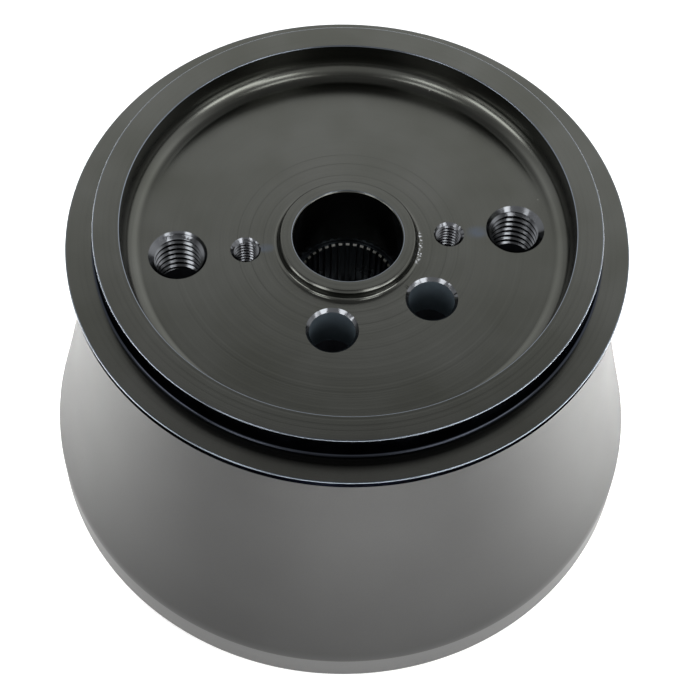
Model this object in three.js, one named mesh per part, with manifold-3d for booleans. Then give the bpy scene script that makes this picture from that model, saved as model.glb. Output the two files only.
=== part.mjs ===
// A low-profile sailboat deck winch, its drum driven from below through a splined hub.
// Millimetres, +Z up. The origin is the centre of the base plate's foot. The drum turns about +Z.
import * as THREE from 'three';
import { mergeVertices } from 'three/addons/utils/BufferGeometryUtils.js';
import Module from 'manifold-3d';

// ---- Driving dimensions ----
const GAP = 0.3; // between pieces that touch or run on each other

// Drum, outside
const RIM_R = 69.7;
const RIM_FOOT_Z = 1.5; // the drum runs this far above the deck
const RIM_BAND_H = 9.4;
const WAIST_R = 55.6; // rope surface just under the flange
const FLARE_SAG = 0.6; // how far the rope surface is hollowed below a straight cone
const FLANGE_R = 61;
const FLANGE_Z = 79.2;
const FLANGE_T = 1.9;
const RING_TOP_Z = 85;
const RING_R = 54.7;
const DISH_R = 48.9;
const DISH_Z = 76.4;
const DISH_FILLET = 4;
const BOSS_R = 15;
const BOSS_TOP_Z = 78.9;
const BORE_R = 11.9;
const EDGE = 0.5; // chamfer on turned edges

// Drum, inside
const SKIRT_INNER_R = 65;
const RATCHET_SEAT_R = 60;
const SHOULDER_Z = 18.2; // face that the ratchet ring is screwed to
const BEARING_BORE_R = 43.5;
const WEB_UNDER_Z = 61.5;
const HUB_R = 18;
const HUB_FOOT_Z = 27.8;
const SPLINE_TOP_Z = 60.5; // the ledge that shows in the bore

// Spline
const INSERT_R = 14.7; // splined insert pressed into the hub from below
const SPLINE_TEETH = 42;
const SPLINE_ROOT_R = 11.45;
const SPLINE_TIP_R = 10.8;

// Holes in the dish, on one diameter through the axis and in front of the boss
const HOLE_LINE_DEG = 8.2; // how far that diameter is turned from +X
const M12_AT_R = 37;
const M12_DRILL_R = 5.1;
const M12_MOUTH_R = 6.4;
const M12_DEPTH = 12;
const M6_AT_R = 22.3;
const M6_DRILL_R = 2.5;
const M6_MOUTH_R = 3.3;
const M6_DEPTH = 10;
const PLAIN_AT_R = 23.2;
const PLAIN_DEGS = [-96.2, -37.3];
const PLAIN_R = 4.95;
const PLAIN_MOUTH_R = 5.65;
const PLAIN_DEPTH = 11.5;

// Base plate, stem and spindle
const BASE_R = 62.5;
const BASE_T = 8;
const BASE_HOLE_R = 18;
const DECK_BOLTS = 6;
const DECK_BOLT_AT_R = 50;
const DECK_BOLT_R = 3.3;
const DECK_BOLT_HEAD_R = 5.6;
const STEM_R = 35;
const STEM_INNER_R = 27;
const STEM_TOP_Z = 60.6;
const STEM_WEB = [12, 24.3]; // the web that carries the bush, from and to this height
const STEM_COLLAR_R = 36.6;
const STEM_COLLAR_TOP_Z = 17.3;
const STEM_GROOVE_R = 33.6;
const STEM_GROOVE = [58.2, 59.8];
const STEM_SCREWS = 6;
const STEM_SCREW_AT_R = 31;
const STEM_SCREW = { headR: 4.25, headH: 4.1, shankR: 2.2, socketFlats: 4 };
const STEM_SCREW_TIP_Z = 19.5;
const SPINDLE_R = 10.9;
const SPINDLE_FOOT_Z = 3;
const SPINDLE_TOP_Z = 44;
const SPINDLE_SPLINE_R = 10.5; // bottom of the spindle's own spline grooves
const SPINDLE_GROOVE_R = 9.6;
const SPINDLE_GROOVE = [8.9, 10.5];
const SOCKET_FLATS = 14; // hexagon socket for the drive from below
const SOCKET_DEPTH = 14;
const BUSH_R = 14.1;
const BUSH_BORE_R = 11.3;

// Bearings
const ROLLERS = 8;
const ROLLER_R = 3.9;
const ROLLER_AT_R = 39.3;
const ROLLER_L = 9;
const CAGE_H = 11.6;
const CAGE_INNER_R = 37;
const CAGE_OUTER_R = 41.6;
const BEARING_Z = { lower: 25, upper: 52 }; // middle height of each bearing

// Ratchet
const RATCHET_TEETH = 24;
const RATCHET_R = 59.7;
const RATCHET_ROOT_R = 51;
const RATCHET_TIP_R = 47;
const RATCHET = [9.4, 17.9];
const RATCHET_SCREWS = 6;
const RATCHET_SCREW_AT_R = 55.5;
const RATCHET_SCREW = { headR: 3, headH: 3, shankR: 1.75, socketFlats: 3 };
const RATCHET_SCREW_GRIP = 8; // length of its thread in the drum
const PAWLS = 3;
const PAWL_AT_R = 41;
const PAWL = [8.5, 16.2];
const PAWL_PIN_R = 2;
const PAWL_PIN_FOOT_Z = 2;
const PAWL_PIN_HEAD_R = 3.4;
const PAWL_EYE_R = 4;
const SPRING_R = 36;
const SPRING_T = 0.6;

const DRUM_SIDES = 48;
const FINE_SIDES = 36;
const SMALL_SIDES = 12;
const TURN = Math.PI * 2;

// ---- Helpers ----
const wasm = await Module();
wasm.setup();

// A closed geometry as a manifold solid, with shared corners merged and empty triangles left out.
function toSolid(geometry) {
  const bare = geometry.clone();
  bare.deleteAttribute('normal');
  bare.deleteAttribute('uv');
  const merged = mergeVertices(bare, 1e-4);
  const index = merged.index.array;
  const kept = [];
  for (let i = 0; i < index.length; i += 3) {
    const [a, b, c] = [index[i], index[i + 1], index[i + 2]];
    if (a !== b && b !== c && c !== a) kept.push(a, b, c);
  }
  return new wasm.Manifold(new wasm.Mesh({
    numProp: 3,
    vertProperties: new Float32Array(merged.attributes.position.array),
    triVerts: new Uint32Array(kept),
  }));
}

function fromSolid(solid) {
  const mesh = solid.getMesh();
  const geometry = new THREE.BufferGeometry();
  geometry.setAttribute('position', new THREE.BufferAttribute(mesh.vertProperties, 3));
  geometry.setIndex(new THREE.BufferAttribute(mesh.triVerts, 1));
  geometry.computeVertexNormals();
  return geometry;
}

function cut(geometry, cutters) {
  let solid = toSolid(geometry);
  for (const cutter of cutters) solid = solid.subtract(toSolid(cutter));
  return fromSolid(solid);
}

function join(geometries) {
  let solid = toSolid(geometries[0]);
  for (const geometry of geometries.slice(1)) solid = solid.add(toSolid(geometry));
  return fromSolid(solid);
}

// A profile of [radius, height] points turned about +Z. A ring's profile closes on itself.
function turned(profile, sides = FINE_SIDES) {
  const points = profile.map(([r, z]) => new THREE.Vector2(r, z));
  if (THREE.ShapeUtils.area(points) < 0) points.reverse();
  if (points[0].x > 0 || points[points.length - 1].x > 0) points.push(points[0].clone());
  const geometry = new THREE.LatheGeometry(points, sides);
  geometry.rotateX(Math.PI / 2);
  return geometry;
}

function ring(innerR, outerR, from, to, sides = FINE_SIDES) {
  return turned([[innerR, from], [outerR, from], [outerR, to], [innerR, to]], sides);
}

function rod(r, from, to, sides = SMALL_SIDES) {
  return turned([[0, from], [r, from], [r, to], [0, to]], sides);
}

// A flat outline of [x, y] points pushed up from one height to another.
function prism(outline, from, to, hole = null) {
  const shape = new THREE.Shape(outline.map(([x, y]) => new THREE.Vector2(x, y)));
  if (hole) shape.holes.push(new THREE.Path(hole.map(([x, y]) => new THREE.Vector2(x, y))));
  const geometry = new THREE.ExtrudeGeometry(shape, { depth: to - from, bevelEnabled: false });
  geometry.translate(0, 0, from);
  return geometry;
}

function polar(r, angle) {
  return [r * Math.cos(angle), r * Math.sin(angle)];
}

function circleOutline(r, sides) {
  return Array.from({ length: sides }, (_, i) => polar(r, (i / sides) * TURN));
}

// Places one geometry at a radius and an angle about the axis.
function placed(geometry, r, angle) {
  return geometry.clone().translate(r, 0, 0).rotateZ(angle);
}

function around(count, make, start = 0) {
  return Array.from({ length: count }, (_, i) => make(start + (i / count) * TURN, i));
}

// Points of a round corner, from one angle to another about its centre.
function arc(centre, r, fromDeg, toDeg, steps) {
  return Array.from({ length: steps + 1 }, (_, i) => {
    const angle = THREE.MathUtils.degToRad(fromDeg + ((toDeg - fromDeg) * i) / steps);
    return [centre[0] + r * Math.cos(angle), centre[1] + r * Math.sin(angle)];
  });
}

// Straight-sided teeth round a circle. The half widths are in parts of one tooth pitch.
function splineOutline(rootR, tipR, rootHalf, tipHalf) {
  const pitch = TURN / SPLINE_TEETH;
  const outline = [];
  for (let i = 0; i < SPLINE_TEETH; i += 1) {
    const middle = i * pitch;
    outline.push(polar(rootR, middle - rootHalf * pitch), polar(tipR, middle - tipHalf * pitch));
    outline.push(polar(tipR, middle + tipHalf * pitch), polar(rootR, middle + rootHalf * pitch));
  }
  return outline;
}

// A drilled hole with a chamfered mouth and a cone at the bottom, its mouth at a height.
function drilled(r, mouthR, depth, mouthZ) {
  const chamfer = mouthR - r;
  const coneDepth = r * 0.5;
  return turned([
    [0, mouthZ - depth - coneDepth], [r, mouthZ - depth], [r, mouthZ - chamfer],
    [mouthR, mouthZ], [mouthR, mouthZ + 1], [0, mouthZ + 1],
  ], SMALL_SIDES);
}

const group = new THREE.Group();

function add(name, geometry, look) {
  const mesh = new THREE.Mesh(geometry, new THREE.MeshStandardMaterial(look));
  mesh.name = name;
  group.add(mesh);
  return mesh;
}

const BLACK_ANODISED = { color: 0x2b2c2a, roughness: 0.4, metalness: 0.8 };
const GREY_ANODISED = { color: 0x8b8c8e, roughness: 0.6, metalness: 0.8 };
const STAINLESS = { color: 0xb9bbbd, roughness: 0.3, metalness: 1 };
const BRONZE = { color: 0xa9793f, roughness: 0.4, metalness: 1 };
const ACETAL = { color: 0xe4e2d8, roughness: 0.5, metalness: 0 };
const SPRING_STEEL = { color: 0x6f7478, roughness: 0.35, metalness: 1 };

// ---- Drum ----
function drumProfile() {
  const bandTop = RIM_FOOT_Z + RIM_BAND_H;
  const flangeFoot = FLANGE_Z - FLANGE_T;
  const flare = Array.from({ length: 9 }, (_, i) => {
    const t = i / 8;
    const r = RIM_R + (WAIST_R - RIM_R) * t - FLARE_SAG * 4 * t * (1 - t);
    return [r, bandTop + (flangeFoot - bandTop) * t];
  });
  return [
    [SKIRT_INNER_R, RIM_FOOT_Z], [RIM_R - EDGE, RIM_FOOT_Z], [RIM_R, RIM_FOOT_Z + EDGE],
    ...flare,
    [FLANGE_R - 0.2, flangeFoot], [FLANGE_R, flangeFoot + 0.2], [FLANGE_R, FLANGE_Z - EDGE],
    [FLANGE_R - EDGE, FLANGE_Z], [RING_R, FLANGE_Z], [RING_R, RING_TOP_Z - 0.8],
    [RING_R - 0.7, RING_TOP_Z], [DISH_R + 0.2, RING_TOP_Z], [DISH_R, RING_TOP_Z - 0.2],
    ...arc([DISH_R - DISH_FILLET, DISH_Z + DISH_FILLET], DISH_FILLET, 0, -90, 4),
    [BOSS_R + 1.2, DISH_Z], [BOSS_R, DISH_Z + 1.2], [BOSS_R, BOSS_TOP_Z - 0.4],
    [BOSS_R - 0.4, BOSS_TOP_Z], [BORE_R + 0.3, BOSS_TOP_Z], [BORE_R, BOSS_TOP_Z - 0.3],
    [BORE_R, SPLINE_TOP_Z + GAP], [INSERT_R + GAP, SPLINE_TOP_Z + GAP], [INSERT_R + GAP, HUB_FOOT_Z],
    [HUB_R - EDGE, HUB_FOOT_Z], [HUB_R, HUB_FOOT_Z + EDGE], [HUB_R, WEB_UNDER_Z],
    [BEARING_BORE_R, WEB_UNDER_Z], [BEARING_BORE_R, SHOULDER_Z], [RATCHET_SEAT_R, SHOULDER_Z],
    [RATCHET_SEAT_R, RIM_FOOT_Z + 7.5], [SKIRT_INNER_R, RIM_FOOT_Z + 6],
  ];
}

function drumHoles() {
  const line = THREE.MathUtils.degToRad(HOLE_LINE_DEG);
  const m12 = drilled(M12_DRILL_R, M12_MOUTH_R, M12_DEPTH, DISH_Z);
  const m6 = drilled(M6_DRILL_R, M6_MOUTH_R, M6_DEPTH, DISH_Z);
  const plain = drilled(PLAIN_R, PLAIN_MOUTH_R, PLAIN_DEPTH, DISH_Z);
  const screw = rod(RATCHET_SCREW.shankR + GAP, SHOULDER_Z - 1, SHOULDER_Z + RATCHET_SCREW_GRIP + 1, 8);
  return [
    ...around(2, (angle) => placed(m12, M12_AT_R, angle), line),
    ...around(2, (angle) => placed(m6, M6_AT_R, angle), line),
    ...PLAIN_DEGS.map((deg) => placed(plain, PLAIN_AT_R, THREE.MathUtils.degToRad(deg))),
    ...around(RATCHET_SCREWS, (angle) => placed(screw, RATCHET_SCREW_AT_R, angle)),
  ];
}

add('drum', cut(turned(drumProfile(), DRUM_SIDES), drumHoles()), BLACK_ANODISED);

// ---- Splined insert, fixed in the drum's hub ----
const splineSpace = prism(
  splineOutline(SPLINE_TIP_R, SPLINE_ROOT_R, 0.34, 0.23), HUB_FOOT_Z - 1, SPLINE_TOP_Z + 1);
const insertBlank = turned([
  [SPLINE_TIP_R - 0.8, HUB_FOOT_Z], [INSERT_R - EDGE, HUB_FOOT_Z], [INSERT_R, HUB_FOOT_Z + EDGE],
  [INSERT_R, SPLINE_TOP_Z - EDGE], [INSERT_R - EDGE, SPLINE_TOP_Z], [SPLINE_TIP_R - 0.8, SPLINE_TOP_Z],
], FINE_SIDES);
add('spline_insert', cut(insertBlank, [splineSpace]), STAINLESS);

// ---- Ratchet ring and its screws, fixed to the drum ----
// A cap screw pointing up: its head starts at one height and its shank ends at another.
function capScrew({ headR, headH, shankR, socketFlats }, headZ, tipZ) {
  const body = join([rod(headR, headZ, headZ + headH), rod(shankR, headZ + headH - 0.5, tipZ, 8)]);
  const socket = prism(circleOutline(socketFlats / Math.sqrt(3), 6), headZ - 1, headZ + headH / 2);
  return cut(body, [socket]);
}

function ratchetRing() {
  const teeth = [];
  for (let i = 0; i < RATCHET_TEETH; i += 1) {
    const start = ((i - 0.25) / RATCHET_TEETH) * TURN;
    const end = ((i + 0.7) / RATCHET_TEETH) * TURN;
    teeth.push(polar(RATCHET_ROOT_R, start), polar(RATCHET_TIP_R, end));
  }
  const body = prism(circleOutline(RATCHET_R, DRUM_SIDES), RATCHET[0], RATCHET[1], teeth);
  const counterbore = join([
    rod(RATCHET_SCREW.headR + 0.4, RATCHET[0] - 1, RATCHET[0] + RATCHET_SCREW.headH + 0.8),
    rod(RATCHET_SCREW.shankR + GAP, RATCHET[0], RATCHET[1] + 1, 8),
  ]);
  return cut(body, around(RATCHET_SCREWS, (angle) => placed(counterbore, RATCHET_SCREW_AT_R, angle)));
}

add('ratchet_ring', ratchetRing(), STAINLESS);
const ratchetScrew = capScrew(RATCHET_SCREW, RATCHET[0] + 0.4, SHOULDER_Z + RATCHET_SCREW_GRIP);
around(RATCHET_SCREWS, (angle, i) => add(
  `ratchet_screw_${i + 1}`, placed(ratchetScrew, RATCHET_SCREW_AT_R, angle), STAINLESS));

// ---- Main spindle, with its washer and circlip ----
function spindle() {
  const body = turned([
    [0, SPINDLE_FOOT_Z], [SPINDLE_R - EDGE, SPINDLE_FOOT_Z], [SPINDLE_R, SPINDLE_FOOT_Z + EDGE],
    [SPINDLE_R, SPINDLE_GROOVE[0]], [SPINDLE_GROOVE_R, SPINDLE_GROOVE[0]],
    [SPINDLE_GROOVE_R, SPINDLE_GROOVE[1]], [SPINDLE_R, SPINDLE_GROOVE[1]],
    [SPINDLE_R, HUB_FOOT_Z - 0.8], [SPINDLE_SPLINE_R, HUB_FOOT_Z - 0.4],
    [SPINDLE_SPLINE_R, SPINDLE_TOP_Z - 0.8], [SPINDLE_SPLINE_R - 0.8, SPINDLE_TOP_Z],
    [0, SPINDLE_TOP_Z],
  ], 36);
  const spline = prism(
    splineOutline(SPINDLE_SPLINE_R, SPLINE_ROOT_R - 0.25, 0.28, 0.18),
    HUB_FOOT_Z, SPINDLE_TOP_Z - 0.8);
  const socket = prism(
    circleOutline(SOCKET_FLATS / Math.sqrt(3), 6), SPINDLE_FOOT_Z - 1, SPINDLE_FOOT_Z + SOCKET_DEPTH);
  return cut(join([body, spline]), [socket]);
}

// An open retaining ring with an ear at each end.
function circlip(innerR, outerR, from, to) {
  const half = THREE.MathUtils.degToRad(162);
  const ear = outerR + 1.2;
  const steps = 32;
  const outer = Array.from({ length: steps + 1 }, (_, i) => {
    const t = i / steps;
    return polar(t < 0.04 || t > 0.96 ? ear : outerR, -half + 2 * half * t);
  });
  const inner = Array.from({ length: steps + 1 }, (_, i) => polar(innerR, half - (2 * half * i) / steps));
  return prism([...outer, ...inner], from, to);
}

add('main_spindle', spindle(), STAINLESS);
add('spindle_washer', ring(SPINDLE_R + GAP, 17, SPINDLE_GROOVE[1] + 0.1, STEM_WEB[0] - GAP, 32), STAINLESS);
add('spindle_circlip', circlip(SPINDLE_GROOVE_R + GAP, SPINDLE_R + 2.3, SPINDLE_GROOVE[0] + GAP,
  SPINDLE_GROOVE[1] - GAP), SPRING_STEEL);
add('hub_thrust_washer', ring(BUSH_BORE_R, HUB_R - GAP, HUB_FOOT_Z - 1.5, HUB_FOOT_Z - GAP, 32), BRONZE);

// ---- Base plate, stem and bush ----
function basePlate() {
  const body = turned([
    [BASE_HOLE_R, 0], [BASE_R - 1, 0], [BASE_R, 1], [BASE_R, BASE_T - 1],
    [BASE_R - 1, BASE_T], [BASE_HOLE_R, BASE_T],
  ]);
  const deckBolt = turned([
    [0, -1], [DECK_BOLT_R, -1], [DECK_BOLT_R, BASE_T - DECK_BOLT_HEAD_R + DECK_BOLT_R],
    [DECK_BOLT_HEAD_R, BASE_T], [DECK_BOLT_HEAD_R, BASE_T + 1], [0, BASE_T + 1],
  ], SMALL_SIDES);
  const stemScrewHole = join([
    rod(STEM_SCREW.headR + GAP, -1, STEM_SCREW.headH + 0.8), rod(STEM_SCREW.shankR + GAP, 0, BASE_T + 1, 8)]);
  const pawlPin = rod(PAWL_PIN_R + GAP, PAWL_PIN_FOOT_Z - GAP, BASE_T + 1);
  return cut(body, [
    ...around(DECK_BOLTS, (angle) => placed(deckBolt, DECK_BOLT_AT_R, angle)),
    ...around(STEM_SCREWS, (angle) => placed(stemScrewHole, STEM_SCREW_AT_R, angle)),
    ...around(PAWLS, (angle) => placed(pawlPin, PAWL_AT_R, angle), Math.PI / 2),
  ]);
}

function centreStem() {
  const foot = BASE_T + GAP;
  const body = turned([
    [STEM_INNER_R, foot], [STEM_R, foot], [STEM_R, STEM_COLLAR_TOP_Z - 0.7],
    [STEM_COLLAR_R, STEM_COLLAR_TOP_Z - 0.7], [STEM_COLLAR_R, STEM_COLLAR_TOP_Z],
    [STEM_R, STEM_COLLAR_TOP_Z], [STEM_R, STEM_GROOVE[0]], [STEM_GROOVE_R, STEM_GROOVE[0]],
    [STEM_GROOVE_R, STEM_GROOVE[1]], [STEM_R, STEM_GROOVE[1]], [STEM_R - 0.4, STEM_TOP_Z],
    [STEM_INNER_R, STEM_TOP_Z], [STEM_INNER_R, STEM_WEB[1]], [BUSH_R + GAP, STEM_WEB[1]],
    [BUSH_R + GAP, STEM_WEB[0]], [STEM_INNER_R, STEM_WEB[0]],
  ]);
  const screw = rod(STEM_SCREW.shankR + GAP, foot - 1, STEM_SCREW_TIP_Z + 1, 8);
  return cut(body, around(STEM_SCREWS, (angle) => placed(screw, STEM_SCREW_AT_R, angle)));
}

add('base_plate', basePlate(), GREY_ANODISED);
add('centre_stem', centreStem(), STAINLESS);
const stemScrew = capScrew(STEM_SCREW, 0.5, STEM_SCREW_TIP_Z);
around(STEM_SCREWS, (angle, i) => add(
  `stem_screw_${i + 1}`, placed(stemScrew, STEM_SCREW_AT_R, angle), STAINLESS));
add('spindle_bush', turned([
  [BUSH_BORE_R, STEM_WEB[0]], [BUSH_R, STEM_WEB[0]], [BUSH_R, STEM_WEB[1] + GAP],
  [HUB_R - EDGE, STEM_WEB[1] + GAP], [HUB_R - EDGE, HUB_FOOT_Z - 1.8], [BUSH_BORE_R, HUB_FOOT_Z - 1.8],
], 32), BRONZE);

// ---- Bearings ----
function cage(middleZ) {
  const body = ring(CAGE_INNER_R, CAGE_OUTER_R, middleZ - CAGE_H / 2, middleZ + CAGE_H / 2);
  const pocket = new THREE.BoxGeometry(8, 2 * (ROLLER_R + GAP), ROLLER_L + 2 * GAP);
  pocket.translate(0, 0, middleZ);
  return cut(body, around(ROLLERS, (angle) => placed(pocket, ROLLER_AT_R, angle)));
}

for (const [place, middleZ] of Object.entries(BEARING_Z)) {
  add(`cage_${place}`, cage(middleZ), ACETAL);
  const roller = rod(ROLLER_R, middleZ - ROLLER_L / 2, middleZ + ROLLER_L / 2);
  around(ROLLERS, (angle, i) => add(
    `roller_${place}_${i + 1}`, placed(roller, ROLLER_AT_R, angle), STAINLESS));
}
add('bearing_thrust_ring', ring(
  STEM_R + GAP, BEARING_BORE_R - 0.5, STEM_COLLAR_TOP_Z + GAP, BEARING_Z.lower - CAGE_H / 2 - 0.4), ACETAL);
add('bearing_spacer', ring(
  STEM_R + GAP, ROLLER_AT_R, BEARING_Z.lower + CAGE_H / 2 + 0.6, BEARING_Z.upper - CAGE_H / 2 - 0.6), ACETAL);
add('stem_circlip', circlip(STEM_GROOVE_R + GAP, STEM_R + 4, STEM_GROOVE[0] + GAP, STEM_GROOVE[1] - GAP),
  SPRING_STEEL);

// ---- Pawls, pins and springs ----
// The pawl's outline in its own frame: the pin at 0, 0, x along the winch's radius and y anticlockwise.
// The nose points clockwise, so the teeth can only pass it clockwise.
function pawlOutline() {
  return [...arc([0, 0], PAWL_EYE_R, 0, 240, 8), [-0.2, -12], [3.6, -12.4]];
}

const pawl = cut(prism(pawlOutline(), PAWL[0], PAWL[1]), [rod(PAWL_PIN_R + GAP, 0, RATCHET[1])]);
const pawlPin = join([
  rod(PAWL_PIN_R, PAWL_PIN_FOOT_Z, PAWL[1] + 0.5), rod(PAWL_PIN_HEAD_R, PAWL[1] + GAP, PAWL[1] + 1)]);
// A leaf lying round the stem, its free end behind the pawl's nose and its anchored end hooked out.
function springOutline() {
  const back = arc([0, 0], SPRING_R, -17, 12, 12);
  const face = arc([0, 0], SPRING_R + SPRING_T, 11, -17, 12);
  const hook = [polar(SPRING_R + 3.5, THREE.MathUtils.degToRad(14)),
    polar(SPRING_R + 3.5, THREE.MathUtils.degToRad(13))];
  return [...back, ...hook, ...face];
}

around(PAWLS, (angle, i) => {
  add(`pawl_${i + 1}`, placed(pawl, PAWL_AT_R, angle), STAINLESS);
  add(`pawl_pin_${i + 1}`, placed(pawlPin, PAWL_AT_R, angle), STAINLESS);
  const spring = prism(springOutline(), PAWL[0] + 0.5, PAWL[0] + 6.5);
  add(`pawl_spring_${i + 1}`, spring.rotateZ(angle), SPRING_STEEL);
}, Math.PI / 2);

export default group;
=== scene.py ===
import math
import bpy
from mathutils import Matrix, Vector


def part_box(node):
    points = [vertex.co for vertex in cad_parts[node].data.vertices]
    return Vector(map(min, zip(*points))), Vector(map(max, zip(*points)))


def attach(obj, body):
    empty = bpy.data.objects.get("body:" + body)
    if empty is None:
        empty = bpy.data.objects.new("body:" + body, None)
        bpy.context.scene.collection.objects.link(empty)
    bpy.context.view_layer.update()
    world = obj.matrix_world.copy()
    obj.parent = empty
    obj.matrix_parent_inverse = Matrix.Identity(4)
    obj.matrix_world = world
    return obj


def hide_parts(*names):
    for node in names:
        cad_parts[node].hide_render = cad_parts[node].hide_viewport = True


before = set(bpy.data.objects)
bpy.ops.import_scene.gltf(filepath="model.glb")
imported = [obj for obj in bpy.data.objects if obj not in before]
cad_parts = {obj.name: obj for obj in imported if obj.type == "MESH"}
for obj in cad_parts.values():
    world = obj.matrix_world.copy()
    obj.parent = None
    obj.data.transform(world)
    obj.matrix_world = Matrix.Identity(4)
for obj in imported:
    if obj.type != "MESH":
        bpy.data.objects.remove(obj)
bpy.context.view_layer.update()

mm = 0.001
drumLow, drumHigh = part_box("drum")
insertLow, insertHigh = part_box("spline_insert")
rimR, footZ, topZ = drumHigh.x / mm, drumLow.z / mm, drumHigh.z / mm
print("frame loaded:", len(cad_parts), "nodes")


def deselectAll():
    if bpy.context.mode != "OBJECT":
        bpy.ops.object.mode_set(mode="OBJECT")
    bpy.ops.object.select_all(action="DESELECT")


def makeActive(piece):
    deselectAll()
    piece.select_set(True)
    bpy.context.view_layer.objects.active = piece


def applyPlace(piece):
    makeActive(piece)
    bpy.ops.object.transform_apply(location=True, rotation=True, scale=True)


def copyOf(piece, name):
    # a copy with its own mesh
    twin = piece.copy()
    twin.data = piece.data.copy()
    twin.name = twin.data.name = name
    bpy.context.scene.collection.objects.link(twin)
    return twin


def moved(piece, name, radius, angle):
    # copies a piece out to a radius and an angle about the winch's axis
    twin = copyOf(piece, name)
    turnAndPush = Matrix.Rotation(angle, 4, "Z") @ Matrix.Translation((radius * mm, 0, 0))
    twin.data.transform(turnAndPush)
    return twin


def discard(*pieces):
    for piece in pieces:
        bpy.data.meshes.remove(piece.data)


def smooth(piece, degrees=32):
    makeActive(piece)
    bpy.ops.object.shade_smooth_by_angle(angle=math.radians(degrees))


def keepFlats(piece):
    # big faces set the shading of the corners they share, so a flat face with holes in it stays flat
    makeActive(piece)
    modifier = piece.modifiers.new("flats", "WEIGHTED_NORMAL")
    modifier.mode, modifier.weight, modifier.keep_sharp = "FACE_AREA", 100, True
    bpy.ops.object.modifier_apply(modifier=modifier.name)


def turnOnLathe(name, profile, sides):
    # A ring of edges is drawn up the (radius, height) profile by extrude and resize.
    # A profile that starts and ends off the axis closes on itself.
    deselectAll()
    startR, startZ = profile[0]
    onAxis = startR == 0
    if onAxis:
        startR = 0.02
    bpy.ops.mesh.primitive_circle_add(vertices=sides, radius=startR * mm, location=(0, 0, startZ * mm),
                                      fill_type="NGON" if onAxis else "NOTHING")
    piece = bpy.context.object
    piece.name = piece.data.name = name
    applyPlace(piece)
    bpy.ops.object.mode_set(mode="EDIT")
    bpy.ops.mesh.select_all(action="SELECT")
    if onAxis:
        bpy.ops.mesh.select_all(action="DESELECT")
        bpy.ops.mesh.select_mode(type="EDGE")
        bpy.ops.mesh.select_non_manifold()
    steps = list(profile[1:])
    if not onAxis and profile[-1][0] != 0:
        steps.append(profile[0])
    lastR, lastZ = startR, startZ
    for r, z in steps:
        endsOnAxis = r == 0
        r = 0.02 if endsOnAxis else r
        bpy.ops.mesh.extrude_region_move(TRANSFORM_OT_translate={"value": (0, 0, (z - lastZ) * mm)})
        scale = r / lastR
        bpy.ops.transform.resize(value=(scale, scale, 1), center_override=(0, 0, z * mm))
        lastR, lastZ = r, z
        if endsOnAxis:
            bpy.ops.mesh.edge_face_add()
    bpy.ops.mesh.select_all(action="SELECT")
    bpy.ops.mesh.remove_doubles(threshold=1e-6)
    bpy.ops.mesh.normals_make_consistent(inside=False)
    bpy.ops.object.mode_set(mode="OBJECT")
    return piece


def cutAway(piece, *cutters):
    for cutter in cutters:
        makeActive(piece)
        modifier = piece.modifiers.new("cut", "BOOLEAN")
        modifier.operation = "DIFFERENCE"
        modifier.solver = "EXACT"
        modifier.material_mode = "TRANSFER"     # the cut faces keep the cutter's finish
        modifier.object = cutter
        bpy.ops.object.modifier_apply(modifier=modifier.name)
        discard(cutter)


def linear(hexColour):
    # sRGB hex to the linear colour that the shader takes
    channels = [int(hexColour[i:i + 2], 16) / 255 for i in (1, 3, 5)]
    return [c / 12.92 if c <= 0.04045 else ((c + 0.055) / 1.055) ** 2.4 for c in channels] + [1]


def newMaterial(name, **shaderValues):
    material = bpy.data.materials.new(name)
    material.use_nodes = True
    shader = material.node_tree.nodes["Principled BSDF"]
    for socket, value in shaderValues.items():
        shader.inputs[socket.replace("_", " ")].default_value = value
    return material, shader


def node(material, kind, links=None, **settings):
    # adds a node, with its settings, socket values and links
    made = material.node_tree.nodes.new("ShaderNode" + kind)
    values = settings.pop("values", {})
    stops = settings.pop("stops", [])       # colours along a ramp, as (position, colour), two or more
    for key, value in settings.items():
        setattr(made, key, value)
    for socket, value in values.items():
        made.inputs[socket].default_value = value
    for socket, source in (links or {}).items():
        material.node_tree.links.new(source, made.inputs[socket])
    if stops:
        ends = made.color_ramp.elements
        ends[0].position, ends[0].color = stops[0]
        ends[1].position, ends[1].color = stops[-1]
        for position, colour in stops[1:-1]:
            made.color_ramp.elements.new(position).color = colour
    return made


def connect(material, output, target):
    material.node_tree.links.new(output, target)


def latheDistance(material, coords):
    # millimetres out from the axis plus millimetres up it: tool marks run round on faces and walls alike
    apart = node(material, "SeparateXYZ", {"Vector": coords})
    flat = node(material, "CombineXYZ", {"X": apart.outputs["X"], "Y": apart.outputs["Y"]})
    out = node(material, "VectorMath", {0: flat.outputs[0]}, operation="LENGTH")
    both = node(material, "Math", {0: out.outputs["Value"], 1: apart.outputs["Z"]}, operation="ADD")
    return node(material, "Math", {0: both.outputs[0]}, operation="MULTIPLY", values={1: 1000}).outputs[0]


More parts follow.
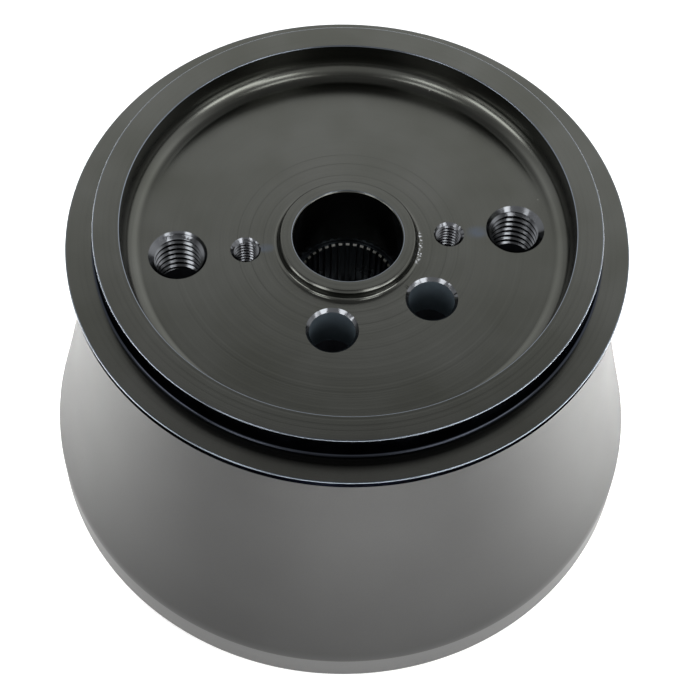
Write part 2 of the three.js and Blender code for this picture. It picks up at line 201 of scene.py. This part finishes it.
# Black anodised aluminium, faced on a lathe: a dark satin metal with fine rings from the tool tip
turnedAnodise = {
    "colour": "#464743", "lighter": "#4e4f4c", "roughness": 0.22,
    "ringWidth": 0.55,      # mm; the real feed is about 0.2, drawn coarser so that it shows
    "ringDepth": 0.004,     # mm
    "ringContrast": 0.07, "glossSwing": 0.05,
    "clouds": 45,           # per metre, so about 22 mm across
    "dust": 160, "dustRarity": 330,     # per metre: specks 6 mm apart, most of them then left out
    "dustColour": "#a8a8a4",
    "floorBelowTop": 8.6,   # mm; the dish's depth, for the rubs and flecks on its floor
    "toolMarks": (18.4, 21.6, 24.1),        # mm; radii where the tool dwelt and left a fine dark line
    "toolMarkHalfWidth": 0.09, "toolMarkColour": "#3a3b38",
    "smears": ((28.6, 8.2, 3.6), (18.0, 188.2, 2.6)),       # radius, angle, half length of faint blue rubs
    "smearColour": "#4d5562", "smearGrain": 420,            # per metre, so about 2.4 mm
    "galling": (15.9, -2.0, 6.0),           # radius, angle and reach of silver flecks at the boss's foot
    "gallingHalfWidth": 0.4, "gallingColour": "#b9bbc0", "gallingGrain": 1900,      # so about 0.5 mm
}


def spotMask(material, coords, height, radius, angle, reach, squash=1.0):
    # 1 at a place on the dish floor, fading to 0 at its reach, narrowed across the radius
    turn = math.radians(angle)
    centre = (radius * mm * math.cos(turn), radius * mm * math.sin(turn), height * mm)
    place = node(material, "Mapping", {"Vector": coords}, vector_type="TEXTURE", values={
        "Location": centre, "Rotation": (0, 0, turn), "Scale": (reach * mm, reach * squash * mm, 2 * mm)})
    away = node(material, "VectorMath", {0: place.outputs["Vector"]}, operation="LENGTH")
    return node(material, "MapRange", {"Value": away.outputs["Value"]}, interpolation_type="SMOOTHSTEP",
                values={"From Min": 1.0, "From Max": 0.2}).outputs["Result"]


def makeTurnedAnodise(name, look):
    material, shader = newMaterial(name, Metallic=1.0, Roughness=look["roughness"])
    coords = node(material, "TexCoord").outputs["Object"]
    black, white = (0, 0, 0, 1), (1, 1, 1, 1)
    along = latheDistance(material, coords)
    rings = node(material, "TexNoise", {"W": along}, noise_dimensions="1D",
                 values={"Scale": 1 / look["ringWidth"], "Detail": 2.0, "Roughness": 0.7})
    clouds = node(material, "TexNoise", {"Vector": coords}, values={"Scale": look["clouds"], "Detail": 3.0})
    tone = node(material, "ValToRGB", {"Fac": clouds.outputs["Fac"]},
                stops=[(0.35, linear(look["colour"])), (0.65, linear(look["lighter"]))])
    ringTone = node(material, "MapRange", {"Value": rings.outputs["Fac"]},
                    values={"From Min": 0.3, "From Max": 0.7, "To Min": 1 - look["ringContrast"],
                            "To Max": 1 + look["ringContrast"]})
    shade = node(material, "VectorMath", {0: tone.outputs["Color"], "Scale": ringTone.outputs["Result"]},
                 operation="SCALE")

    # specks of dust, kept only where a second noise is high
    dust = node(material, "TexVoronoi", {"Vector": coords}, values={"Scale": look["dust"], "Randomness": 1.0})
    speck = node(material, "ValToRGB", {"Fac": dust.outputs["Distance"]},
                 stops=[(0.0, white), (0.045, black)])
    rare = node(material, "TexNoise", {"Vector": coords}, values={"Scale": look["dustRarity"], "Detail": 1.0})
    picked = node(material, "ValToRGB", {"Fac": rare.outputs["Fac"]}, stops=[(0.6, black), (0.64, white)])
    dustMask = node(material, "Math", {0: speck.outputs["Color"], 1: picked.outputs["Color"]},
                    operation="MULTIPLY")
    layers = [(dustMask.outputs[0], look["dustColour"])]

    # fine dark rings, uneven along their length
    flat = node(material, "VectorMath", {0: coords}, operation="MULTIPLY", values={1: (1000, 1000, 0)})
    out = node(material, "VectorMath", {0: flat.outputs["Vector"]}, operation="LENGTH").outputs["Value"]
    for radius in look["toolMarks"]:
        line = node(material, "Math", {0: out}, operation="COMPARE",
                    values={1: radius, 2: look["toolMarkHalfWidth"]})
        uneven = node(material, "Math", {0: line.outputs[0], 1: clouds.outputs["Fac"]}, operation="MULTIPLY")
        layers.append((uneven.outputs[0], look["toolMarkColour"]))

    # faint blue rubs between the holes
    floorZ = topZ - look["floorBelowTop"]
    for radius, angle, reach in look["smears"]:
        rub = node(material, "TexNoise", {"Vector": coords},
                   values={"Scale": look["smearGrain"], "Detail": 3.0})
        place = spotMask(material, coords, floorZ, radius, angle, reach, 0.6)
        mask = node(material, "Math", {0: place, 1: rub.outputs["Fac"]}, operation="MULTIPLY")
        layers.append((mask.outputs[0], look["smearColour"]))

    # bright flecks in a thin arc round the foot of the boss
    flecks = node(material, "TexNoise", {"Vector": coords},
                  values={"Scale": look["gallingGrain"], "Detail": 3.0})
    silver = node(material, "ValToRGB", {"Fac": flecks.outputs["Fac"]}, stops=[(0.56, black), (0.64, white)])
    foot = node(material, "Math", {0: out}, operation="COMPARE",
                values={1: look["galling"][0], 2: look["gallingHalfWidth"]})
    nearBy = spotMask(material, coords, floorZ, *look["galling"])
    rubbed = node(material, "Math", {0: nearBy, 1: foot.outputs[0]}, operation="MULTIPLY")
    galled = node(material, "Math", {0: rubbed.outputs[0], 1: silver.outputs["Color"]}, operation="MULTIPLY")
    layers.append((galled.outputs[0], look["gallingColour"]))

    colour = shade.outputs["Vector"]
    for mask, hexColour in layers:
        colour = node(material, "Mix", {"Factor": mask, 6: colour}, data_type="RGBA",
                      values={7: linear(hexColour)}).outputs[2]
    connect(material, colour, shader.inputs["Base Color"])
    rough = node(material, "MapRange", {"Value": rings.outputs["Fac"]},
                 values={"From Min": 0.25, "From Max": 0.75, "To Min": look["roughness"] - look["glossSwing"],
                         "To Max": look["roughness"] + look["glossSwing"]})
    connect(material, rough.outputs["Result"], shader.inputs["Roughness"])
    bump = node(material, "Bump", {"Height": rings.outputs["Fac"]},
                values={"Strength": 0.5, "Distance": look["ringDepth"] * mm})
    connect(material, bump.outputs["Normal"], shader.inputs["Normal"])
    return material


# The same anodise over bead-blasted aluminium: matte and greyer, with a fine even grain
blastedAnodise = {
    "colour": "#3d3d3d", "lighter": "#444444", "roughness": 0.52,
    "grain": 0.28,          # mm; 0.1 mm beads, drawn coarser so that it shows
    "grainDepth": 0.012,    # mm
    "clouds": 30,           # per metre, so about 33 mm across
    "grainContrast": 0.04, "glossSwing": 0.03,
}


def makeBlastedAnodise(name, look):
    material, shader = newMaterial(name, Metallic=1.0, Roughness=look["roughness"])
    coords = node(material, "TexCoord").outputs["Object"]
    grain = node(material, "TexNoise", {"Vector": coords},
                 values={"Scale": 1000 / look["grain"], "Detail": 2.0, "Roughness": 0.6})
    clouds = node(material, "TexNoise", {"Vector": coords}, values={"Scale": look["clouds"], "Detail": 4.0})
    tone = node(material, "ValToRGB", {"Fac": clouds.outputs["Fac"]},
                stops=[(0.3, linear(look["colour"])), (0.7, linear(look["lighter"]))])
    grainTone = node(material, "MapRange", {"Value": grain.outputs["Fac"]},
                     values={"From Min": 0.3, "From Max": 0.7, "To Min": 1 - look["grainContrast"],
                             "To Max": 1 + look["grainContrast"]})
    shade = node(material, "VectorMath", {0: tone.outputs["Color"], "Scale": grainTone.outputs["Result"]},
                 operation="SCALE")
    connect(material, shade.outputs["Vector"], shader.inputs["Base Color"])
    rough = node(material, "MapRange", {"Value": clouds.outputs["Fac"]},
                 values={"From Min": 0.3, "From Max": 0.7, "To Min": look["roughness"] - look["glossSwing"],
                         "To Max": look["roughness"] + look["glossSwing"]})
    connect(material, rough.outputs["Result"], shader.inputs["Roughness"])
    bump = node(material, "Bump", {"Height": grain.outputs["Fac"]},
                values={"Strength": 0.35, "Distance": look["grainDepth"] * mm})
    connect(material, bump.outputs["Normal"], shader.inputs["Normal"])
    return material


# The rim band under the flare: a paler copy of the blasted finish, a painted reflection of the white paper
# round its foot
rimBandPaintedReflection = dict(blastedAnodise, colour="#606060", lighter="#666666")

# Sharp lips get a lighter, bluer colour: a painted highlight, the thin bright line they catch all round
lipPaintedHighlight = {"colour": "#6a7078", "roughness": 0.18}
# The turned edges of the flange and ring, polished and left dyed: a deeper, bluish black
edgeAnodise = {"colour": "#2b2e34", "roughness": 0.2, "grazing": "#5c5c62"}


metalMarks = {
    "clouds": 120,          # per metre, so about 8 mm across
    "darkest": 0.85, "glossLess": 0.06, "glossMore": 0.04,
    "markDepth": 0.004,     # mm
}


def makePlainMetal(name, look, grain=0.5):
    # Faint clouds in its colour and gloss, and fine marks from the cutter. The grain is in mm; real marks
    # are about 0.1, drawn coarser so that they show.
    material, shader = newMaterial(name, Metallic=look.get("metallic", 1.0), Roughness=look["roughness"],
                                   Specular_Tint=linear(look.get("grazing", "#ffffff")))
    coords = node(material, "TexCoord").outputs["Object"]
    clouds = node(material, "TexNoise", {"Vector": coords},
                  values={"Scale": metalMarks["clouds"], "Detail": 4.0})
    colour = linear(look["colour"])
    darker = [c * metalMarks["darkest"] for c in colour[:3]] + [1]
    tone = node(material, "ValToRGB", {"Fac": clouds.outputs["Fac"]}, stops=[(0.35, darker), (0.65, colour)])
    connect(material, tone.outputs["Color"], shader.inputs["Base Color"])
    rough = node(material, "MapRange", {"Value": clouds.outputs["Fac"]},
                 values={"From Min": 0.3, "From Max": 0.7,
                         "To Min": look["roughness"] - metalMarks["glossMore"],
                         "To Max": look["roughness"] + metalMarks["glossLess"]})
    connect(material, rough.outputs["Result"], shader.inputs["Roughness"])
    along = latheDistance(material, coords)
    marks = node(material, "TexNoise", {"W": along}, noise_dimensions="1D",
                 values={"Scale": 1 / grain, "Detail": 2.0})
    bump = node(material, "Bump", {"Height": marks.outputs["Fac"]},
                values={"Strength": 0.4, "Distance": metalMarks["markDepth"] * mm})
    connect(material, bump.outputs["Normal"], shader.inputs["Normal"])
    return material


# Tapped and drilled walls: the cutter leaves them smoother and brighter than the face
tappedAnodise = {"colour": "#5d5f62", "roughness": 0.15}
drilledAnodise = {"colour": "#4b555c", "roughness": 0.35, "metallic": 0.2}      # with a milky bloom
holeBottomPaintedShade = {"colour": "#1b1c1f", "roughness": 0.6}      # painted shade: near black, where the bottom of a hole lies in shadow
stainlessSteel = {"colour": "#b9b9b6", "roughness": 0.28}
aluminiumBronze = {"colour": "#b58a4e", "roughness": 0.3}
whiteAcetal = {"colour": "#e4e1d6", "roughness": 0.45, "metallic": 0.0}
bluedSpringSteel = {"colour": "#4a5058", "roughness": 0.3}
clearAnodise = {"colour": "#9d9fa1", "roughness": 0.4}

finishes = {
    "turned": makeTurnedAnodise("turnedBlackAnodisedAluminium", turnedAnodise),
    "blasted": makeBlastedAnodise("beadBlastedBlackAnodisedAluminium", blastedAnodise),
    # the band's paler blasted finish is a painted reflection of the paper
    "band": makeBlastedAnodise("rimBandPaintedFloorReflection", rimBandPaintedReflection),
    # the lip's lighter colour is a painted highlight
    "lip": makePlainMetal("paintedHighlightLip", lipPaintedHighlight),
    # near black painted shade for the bottoms of the holes
    "paintedShadeBottom": makePlainMetal("paintedShadeHoleBottom", holeBottomPaintedShade),
    "drilled": makePlainMetal("drilledBlackAnodisedAluminium", drilledAnodise, grain=0.3),
    "edge": makePlainMetal("polishedBlackAnodisedEdge", edgeAnodise),
    "tapped": makePlainMetal("tappedBlackAnodisedAluminium", tappedAnodise, grain=0.3),
    "stainless": makePlainMetal("machinedStainlessSteel", stainlessSteel),
    "bronze": makePlainMetal("turnedAluminiumBronze", aluminiumBronze),
    "acetal": makePlainMetal("turnedWhiteAcetal", whiteAcetal),
    "spring": makePlainMetal("bluedSpringSteel", bluedSpringSteel),
    "clear": makePlainMetal("clearAnodisedAluminium", clearAnodise),
}
print("materials made:", len(finishes))


drumShape = {
    "sides": 256,
    "bandHeight": 9.4, "bandRound": 1.6,
    "waistR": 55.6, "flareSag": 0.6, "flareSteps": 28,
    "flangeR": 61.0, "flangeBelowTop": 5.8, "flangeThick": 1.9,
    "ringR": 54.7, "edgeRound": 0.26,
    "dishR": 48.9, "dishDepth": 8.6, "dishFillet": 4.0,
    "bossR": 15.0, "bossBelowTop": 6.1, "bossFillet": 1.2,
    "boreR": 11.9, "ledgeBelowTop": 24.2,
    "skirtInnerR": 65.0, "ratchetSeatR": 60.0, "shoulderZ": 18.2,
    "bearingBoreR": 43.5, "webUnderZ": 61.5, "hubR": 18.0, "hubFootZ": 27.8,
    "skirtStep": 6.0, "ratchetRecess": 7.5,     # up from the foot
    "insertClearance": 0.3, "mouthChamfer": 0.3, "bossChamfer": 0.45,
}


def roundedProfile(corners):
    # corners are (radius, height, rounding, finish of the stretch that follows). A rounding takes that much
    # of both sides and is a true arc. Lips that catch the light are marked with a fifth word, whose finish
    # paints a highlight on their rounding.
    points, stretchFinish = [], []
    for i, (r, z, cut, finish, *lip) in enumerate(corners):
        corner = Vector((r, z))
        before = (Vector(corners[i - 1][:2]) - corner).normalized()
        after = (Vector(corners[(i + 1) % len(corners)][:2]) - corner).normalized()
        if cut == 0:
            points.append((r, z))
            stretchFinish.append(finish)
            continue
        weight = math.sin(before.angle(after) / 2)
        start, end = corner + before * cut, corner + after * cut
        steps = 4 if cut < 1 else 12        # small roundings need fewer
        for k in range(steps + 1):
            t = k / steps
            a, b, c = (1 - t) ** 2, 2 * weight * t * (1 - t), t * t
            point = (start * a + corner * b + end * c) / (a + b + c)
            points.append((point.x, point.y))
            stretchFinish.append(finish if k == steps else (lip[0] if lip else finish))
    return points, stretchFinish


def drumCorners(d):
    bandTop = footZ + d["bandHeight"]
    flangeZ = topZ - d["flangeBelowTop"]
    flangeFoot = flangeZ - d["flangeThick"]
    dishZ = topZ - d["dishDepth"]
    bossZ = topZ - d["bossBelowTop"]
    ledgeZ = topZ - d["ledgeBelowTop"]
    insertSeatR = insertHigh.x / mm + d["insertClearance"]
    mouth, bossEdge = d["mouthChamfer"], d["bossChamfer"]
    corners = [
        (insertSeatR, d["hubFootZ"], 0.2, "turned"), (d["hubR"], d["hubFootZ"], 0.5, "turned"),
        (d["hubR"], d["webUnderZ"], 1.5, "turned"), (d["bearingBoreR"], d["webUnderZ"], 0.8, "turned"),
        (d["bearingBoreR"], d["shoulderZ"], 0.4, "turned"),
        (d["ratchetSeatR"], d["shoulderZ"], 0.3, "turned"),
        (d["ratchetSeatR"], footZ + d["ratchetRecess"], 0.4, "turned"),
        (d["skirtInnerR"], footZ + d["skirtStep"], 0.4, "turned"),
        # from the foot up to the band's top the paler finish, a painted reflection of the paper
        (d["skirtInnerR"], footZ, 0.4, "turned"), (rimR, footZ, 0.45, "band", "lip"),
        (rimR, bandTop, d["bandRound"], "blasted"),
    ]
    for i in range(1, d["flareSteps"]):
        t = i / d["flareSteps"]
        r = rimR + (d["waistR"] - rimR) * t - d["flareSag"] * 4 * t * (1 - t)
        corners.append((r, bandTop + (flangeFoot - bandTop) * t, 0, "blasted"))
    return corners + [
        (d["waistR"], flangeFoot, 1.2, "blasted"), (d["flangeR"], flangeFoot, 0.2, "edge"),
        # a fifth word "lip" paints a highlight on that corner's rounding
        (d["flangeR"], flangeZ, d["edgeRound"], "turned", "lip"), (d["ringR"], flangeZ, 0.6, "edge"),
        (d["ringR"], topZ, d["edgeRound"], "turned", "lip"), (d["dishR"], topZ, 0.25, "turned", "lip"),
        (d["dishR"], dishZ, d["dishFillet"], "turned"), (d["bossR"], dishZ, d["bossFillet"], "turned"),
        (d["bossR"], bossZ - bossEdge, 0.1, "turned"), (d["bossR"] - bossEdge, bossZ, 0.15, "turned"),
        (d["boreR"] + mouth, bossZ, 0.1, "turned", "lip"), (d["boreR"], bossZ - mouth, 0.1, "turned"),
        (d["boreR"], ledgeZ, 0, "turned"), (insertSeatR, ledgeZ, 0, "turned"),
    ]


def turnProfile(name, corners, sides):
    # turns a rounded profile and gives each band of faces its finish
    points, bandFinish = roundedProfile(corners)
    piece = turnOnLathe(name, points, sides)
    used = sorted(set(bandFinish))
    for finish in used:
        piece.data.materials.append(finishes[finish])
    for face in piece.data.polygons:
        band = min(face.index // sides, len(bandFinish) - 1)
        face.material_index = used.index(bandFinish[band])
    return piece


splineShape = {
    "teeth": 42, "tipR": 10.8, "depth": 0.65, "sides": 168,
    "leadInDepth": 0.35, "leadInWidth": 0.75,
}


def makeSplineCutter(s, fromZ, toZ):
    # every other side of a cylinder is drawn outward, so that straight-sided teeth are left between
    deselectAll()
    pitch = 2 * math.pi / s["teeth"]
    bpy.ops.mesh.primitive_cylinder_add(vertices=2 * s["teeth"], radius=s["tipR"] * mm - 1e-6,
                                        depth=(toZ - fromZ) * mm, location=(0, 0, (fromZ + toZ) / 2 * mm),
                                        rotation=(0, 0, pitch / 4))
    cutter = bpy.context.object
    applyPlace(cutter)
    bpy.ops.object.mode_set(mode="EDIT")
    bpy.ops.mesh.select_all(action="DESELECT")
    bpy.ops.object.mode_set(mode="OBJECT")
    for face in cutter.data.polygons:
        angle = math.atan2(face.center.y, face.center.x)
        halfPitches = round(angle / (pitch / 2))
        face.select = abs(face.normal.z) < 0.5 and halfPitches % 2 == 0
    bpy.ops.object.mode_set(mode="EDIT")
    bpy.ops.mesh.select_mode(type="FACE")
    bpy.ops.mesh.extrude_faces_move(TRANSFORM_OT_shrink_fatten={"value": s["depth"] * mm})
    bpy.ops.object.mode_set(mode="OBJECT")
    cutter.data.materials.append(finishes["spring"])
    return cutter


def makeHoleCutter(hole, mouthZ):
    # a drill with a cone point and a countersink for the mouth
    chamfer = hole["mouthR"] - hole["drillR"]
    tip = hole["drillR"] * 0.5
    profile = [(0, mouthZ - hole["depth"] - tip), (hole["drillR"], mouthZ - hole["depth"]),
               (hole["drillR"], mouthZ - chamfer), (hole["mouthR"], mouthZ),
               (hole["mouthR"] + 1, mouthZ + 1), (0, mouthZ + 1)]
    cutter = turnOnLathe("holeCutter", profile, 72)
    # steep walls take the tapped or drilled finish, the cone at the bottom a near black painted shade
    for finish in ("tapped", "tapped" if "pitch" in hole else "drilled", "paintedShadeBottom"):
        cutter.data.materials.append(finishes[finish])
    for face in cutter.data.polygons:
        steepness = abs(face.normal.z)
        face.material_index = 1 if steepness < 0.2 else 0 if steepness < 0.8 else 2
    return cutter


def makeThreadCutter(hole, topZ):
    # a 60 degree vee wound up the hole with a screw modifier, its root flat an eighth of the pitch
    pitch, majorR = hole["pitch"], hole["majorR"]
    innerR = hole["drillR"] - 0.2
    rootHalf = pitch / 16
    baseHalf = rootHalf + (majorR - innerR) * math.tan(math.radians(30))
    turns = math.ceil((hole["depth"] + pitch) / pitch)
    startZ = topZ - turns * pitch
    deselectAll()
    bpy.ops.mesh.primitive_plane_add(size=1, location=(0, 0, 0))
    cutter = bpy.context.object
    corners = [(innerR, -baseHalf), (majorR, -rootHalf), (innerR, baseHalf), (majorR, rootHalf)]
    for vertex, (r, z) in zip(cutter.data.vertices, corners):
        vertex.co = (r * mm, 0, (startZ + z) * mm)
    screw = cutter.modifiers.new("wind", "SCREW")
    screw.axis, screw.steps, screw.render_steps = "Z", 48, 48
    screw.iterations, screw.screw_offset = turns, pitch * mm
    screw.use_merge_vertices = False
    bpy.ops.object.modifier_apply(modifier="wind")
    bpy.ops.object.mode_set(mode="EDIT")
    bpy.ops.mesh.select_all(action="SELECT")
    bpy.ops.mesh.remove_doubles(threshold=1e-7)
    bpy.ops.mesh.select_all(action="DESELECT")
    bpy.ops.mesh.select_mode(type="EDGE")
    bpy.ops.mesh.select_non_manifold()
    bpy.ops.mesh.fill_holes(sides=4)
    bpy.ops.mesh.select_all(action="SELECT")
    bpy.ops.mesh.normals_make_consistent(inside=False)
    bpy.ops.object.mode_set(mode="OBJECT")
    cutter.data.materials.append(finishes["tapped"])
    return cutter


holes = {
    "lineAngle": 8.2,
    "m12": {"atR": 37.0, "drillR": 5.1, "mouthR": 6.4, "depth": 12.0, "pitch": 1.75, "majorR": 6.0},
    "m6": {"atR": 22.3, "drillR": 2.5, "mouthR": 3.3, "depth": 10.0, "pitch": 1.0, "majorR": 3.0},
    "plain": {"atR": 23.2, "drillR": 4.95, "mouthR": 5.65, "depth": 11.5, "angles": (-96.2, -37.3)},
    "ratchetScrew": {"drillR": 2.05, "depth": 9.0, "count": 6},
}


def holePlaces():
    # every hole in the dish as (its sizes, its radius, its angle)
    line = math.radians(holes["lineAngle"])
    places = [(holes[size], line + turn) for size in ("m12", "m6") for turn in (0, math.pi)]
    return places + [(holes["plain"], math.radians(a)) for a in holes["plain"]["angles"]]


def drillForRatchetScrews(piece, hole, mouthZ):
    # blind holes up into the shoulder, one over each screw that holds the ratchet ring
    for i in range(hole["count"]):
        low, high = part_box(f"ratchet_screw_{i + 1}")
        deepest = mouthZ + hole["depth"]
        cutter = turnOnLathe("screwHole", [(0, mouthZ - 1), (hole["drillR"], mouthZ - 1),
                                           (hole["drillR"], deepest), (0, deepest + 1)], 32)
        cutter.data.materials.append(finishes["drilled"])
        cutter.data.transform(Matrix.Translation(((low.x + high.x) / 2, (low.y + high.y) / 2, 0)))
        cutAway(piece, cutter)


drum = turnProfile("turnedDrum", drumCorners(drumShape), drumShape["sides"])
dishZ = topZ - drumShape["dishDepth"]
for hole, angle in holePlaces():
    cutters = [makeHoleCutter(hole, dishZ)]
    if "pitch" in hole:
        cutters.append(makeThreadCutter(hole, dishZ))
    for cutter in cutters:
        placed = moved(cutter, "cutter", hole["atR"], angle)
        discard(cutter)
        cutAway(drum, placed)
drillForRatchetScrews(drum, holes["ratchetScrew"], drumShape["shoulderZ"])
smooth(drum, 30)
keepFlats(drum)
print("drum turned and drilled:", len(drum.data.polygons), "faces")
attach(drum, "drum")
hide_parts("drum")


def makeInsert(s):
    low, high, outR = insertLow.z / mm, insertHigh.z / mm, insertHigh.x / mm
    blank = turnProfile("splinedInsert", [
        (s["tipR"] - 1, low, 0, "spring"), (outR, low, 0.5, "spring"),
        (outR, high, 0.5, "spring"), (s["tipR"] - 1, high, 0, "spring"),
    ], s["sides"])
    cutAway(blank, makeSplineCutter(s, low - 1, high + 1))
    # a bright chamfer leads in over the tips of the teeth
    leadFoot, leadTop = high - s["leadInDepth"], high + 0.4
    leadIn = turnOnLathe("leadIn", [(0, leadFoot), (s["tipR"], leadFoot),
                                    (s["tipR"] + s["leadInWidth"], leadTop), (0, leadTop)], s["sides"])
    leadIn.data.materials.append(finishes["stainless"])
    cutAway(blank, leadIn)
    smooth(blank, 20)
    return blank


insert = makeInsert(splineShape)
print("insert splined:", len(insert.data.polygons), "faces")
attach(insert, "drum")
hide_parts("spline_insert")


# The CAD nodes that show as they are, by the start of their names
keptFinishes = {
    "base_plate": "clear", "spindle_bush": "bronze", "hub_thrust_washer": "bronze", "cage": "acetal",
    "bearing_spacer": "acetal", "bearing_thrust_ring": "acetal", "pawl_spring": "spring",
    "spindle_circlip": "spring", "stem_circlip": "spring",
}


def finishOf(nodeName):
    for start, finish in keptFinishes.items():
        if nodeName.startswith(start):
            return finishes[finish]
    return finishes["stainless"]


for nodeName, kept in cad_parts.items():
    if not kept.hide_render:
        kept.data.materials.clear()
        kept.data.materials.append(finishOf(nodeName))
print("kept CAD nodes finished")


# Pale paper underneath: matte, and lit a little from below
floorTone = {
    "colour": "#f4f4f2", "roughness": 0.9, "glow": 0.35,
    "fibres": 900,          # per metre, so about 1 mm apart
    "side": 6.0,            # metres
    "drop": 0.1,            # mm under the base plate, so that the two faces stay apart
}


def makeFloor(look):
    # the paper lies on a light table, which takes the shadow off it
    material, shader = newMaterial("palePaper", Roughness=look["roughness"], Emission_Color=(1, 1, 1, 1),
                                   Emission_Strength=look["glow"])
    coords = node(material, "TexCoord").outputs["Object"]
    fibre = node(material, "TexNoise", {"Vector": coords}, values={"Scale": look["fibres"], "Detail": 3.0})
    colour = linear(look["colour"])
    darker = [c * 0.98 for c in colour[:3]] + [1]
    tone = node(material, "ValToRGB", {"Fac": fibre.outputs["Fac"]}, stops=[(0.3, darker), (0.7, colour)])
    connect(material, tone.outputs["Color"], shader.inputs["Base Color"])
    deselectAll()
    bpy.ops.mesh.primitive_plane_add(size=look["side"], location=(0, 0, -look["drop"] * mm))
    floor = bpy.context.object
    floor.name = "paperFloor"
    floor.data.materials.append(material)


def aimAt(thing, target):
    direction = Vector(target) - thing.location
    thing.rotation_euler = direction.to_track_quat("-Z", "Y").to_euler()


def softBox(name, azimuth, elevation, distance, width, height, power):
    # azimuth 0 is straight in front, to the right as it grows; the light always faces the winch
    a, e = math.radians(azimuth), math.radians(elevation)
    across, up = distance * math.cos(e), distance * math.sin(e)
    place = (across * math.sin(a), -across * math.cos(a), up)
    deselectAll()
    bpy.ops.object.light_add(type="AREA", location=place)
    light = bpy.context.object
    light.name = name
    light.data.shape, light.data.size, light.data.size_y = "RECTANGLE", width, height
    light.data.energy = power
    aimAt(light, (0, 0, lightAimZ))


def overheadSpot(name, shape, x, y, power):
    # points straight down on the paper beside the winch and fades out evenly
    deselectAll()
    bpy.ops.object.light_add(type="SPOT", location=(x, y, shape["height"]))
    light = bpy.context.object
    light.name = name
    light.data.spot_size, light.data.spot_blend = math.radians(shape["cone"]), 1.0
    light.data.shadow_soft_size, light.data.energy = shape["softness"], power


# Azimuth and elevation in degrees, distance, width and height in metres, power in watts. Two boxes rake the
# sides, two glint in the chamfers and two higher ones in the threads. The spots are x, y and power.
lightAimZ = 0.06
softBoxes = {
    "boxRight": (55, 22, 1.0, 0.5, 0.25, 3.0),
    "boxLeft": (-66, 20, 1.0, 0.5, 0.25, 2.6),
    "glintRight": (36, 34, 1.0, 0.28, 0.2, 1.2),
    "glintLeft": (-36, 34, 1.0, 0.28, 0.2, 1.2),
    "threadRight": (43, 60, 1.0, 0.26, 0.16, 0.8),
    "threadLeft": (-43, 60, 1.0, 0.26, 0.16, 0.8),
}
spotShape = {"height": 0.5, "cone": 56, "softness": 0.04}
overheadSpots = {
    "spotRight": (0.30, 0.0, 110),
    "spotLeft": (-0.30, 0.02, 85),
    "spotFront": (0.05, -0.33, 60),
}
# brightness of the room by height, behind the winch and in front of it: (sine of the elevation, grey)
room = {
    "back": [(0, 0.5), (0.5, 0.75), (0.7, 1.0), (0.766, 0.9), (0.809, 0.66), (0.845, 0.32), (0.883, 0.16),
             (0.95, 0.12), (1, 0.12)],
    "front": [(0, 0.45), (0.35, 0.5), (0.588, 0.4), (0.707, 0.22), (0.809, 0.14), (1, 0.12)],
    "left": 1.6, "right": 2.4,
}


def makeRoom(r):
    world = bpy.context.scene.world or bpy.data.worlds.new("studio")
    bpy.context.scene.world = world
    world.use_nodes = True
    background = world.node_tree.nodes["Background"]
    sky = node(world, "TexCoord").outputs["Generated"]
    ways = node(world, "SeparateXYZ", {"Vector": sky}).outputs
    greys = {}
    for half in ("front", "back"):
        stops = [(height, (grey, grey, grey, 1)) for height, grey in r[half]]
        greys[half] = node(world, "ValToRGB", {"Fac": ways["Z"]}, stops=stops).outputs["Color"]
    toBack = node(world, "MapRange", {"Value": ways["Y"]}, interpolation_type="SMOOTHSTEP",
                  values={"From Min": -0.25, "From Max": 0.25})
    both = node(world, "Mix", {"Factor": toBack.outputs[0], 6: greys["front"], 7: greys["back"]},
                data_type="RGBA")
    strength = node(world, "MapRange", {"Value": ways["X"]},
                    values={"From Min": -1.0, "From Max": 1.0, "To Min": r["left"], "To Max": r["right"]})
    connect(world, both.outputs[2], background.inputs["Color"])
    connect(world, strength.outputs[0], background.inputs["Strength"])


makeFloor(floorTone)
for name, setting in softBoxes.items():
    softBox(name, *setting)
for name, setting in overheadSpots.items():
    overheadSpot(name, spotShape, *setting)
makeRoom(room)

view = {
    "distance": 390.9, "elevation": 53.924, "targetZ": 78.9, "lens": 92.57, "sensor": 36,
    "pan": -0.393, "tilt": -57.569, "roll": -2.654,     # degrees
}


def makeCamera(v):
    elevation = math.radians(v["elevation"])
    bpy.ops.object.camera_add(location=(0, -v["distance"] * math.cos(elevation) * mm,
                                        (v["targetZ"] + v["distance"] * math.sin(elevation)) * mm))
    camera = bpy.context.object
    turn = (Matrix.Rotation(math.radians(v["pan"]), 4, "Z") @ Matrix.Rotation(math.radians(v["tilt"]), 4, "X")
            @ Matrix.Rotation(math.radians(v["roll"]), 4, "Y") @ Matrix.Rotation(math.radians(90), 4, "X"))
    camera.rotation_euler = turn.to_euler()
    camera.data.sensor_width, camera.data.lens = v["sensor"], v["lens"]
    camera.data.clip_start = 0.01
    bpy.context.scene.camera = camera


makeCamera(view)
bpy.context.scene.view_settings.view_transform = "Standard"
print("stage, lights and camera placed")
